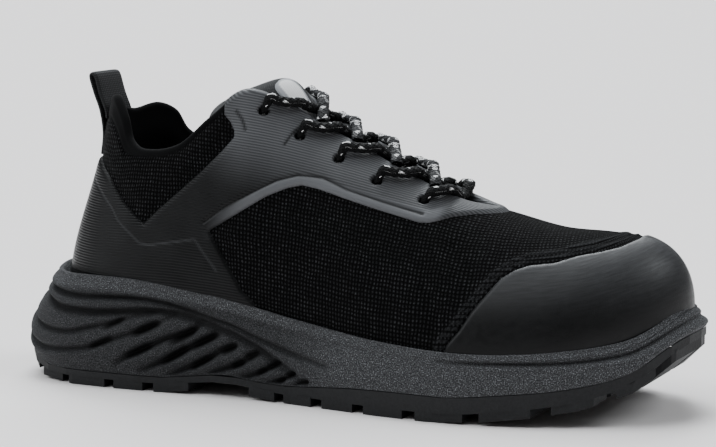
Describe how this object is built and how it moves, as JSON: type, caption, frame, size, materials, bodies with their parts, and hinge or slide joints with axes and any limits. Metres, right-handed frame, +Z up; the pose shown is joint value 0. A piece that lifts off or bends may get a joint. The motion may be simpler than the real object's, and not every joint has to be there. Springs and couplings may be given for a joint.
{
  "type": "safety sneaker",
  "caption": "Low-cut laced safety sneaker with a knit upper, a moulded quarter film, a hard toe cap film, a ribbed flared foam midsole and a lugged rubber outsole.",
  "frame": {"origin": "middle of the shoe's box, on the ground", "axes": "+X to the toe, +Y to the inner side, +Z up"},
  "size_m": [0.301, 0.1084, 0.1307],
  "materials": {
    "outsole": "matte",
    "midsole": "matte, speckled",
    "upper": "knit mesh",
    "quarter_overlay": "ribbed satin film",
    "toe_overlay": "matte grained film",
    "insole": "matte",
    "tongue": "knit",
    "pull_loop": "woven webbing",
    "lace": "round braid"
  },
  "bodies": {
    "root": {"outsole": "outsole", "midsole": "midsole", "insole": "insole", "upper": "upper", "quarter_overlay": "quarter_overlay", "toe_overlay": "toe_overlay", "tongue": "tongue", "pull_loop": "pull_loop", "lace_bar_1": "lace", "lace_cross_2": "lace", "lace_cross_3": "lace", "lace_cross_4": "lace", "lace_cross_5": "lace"}
  },
  "joints": []
}
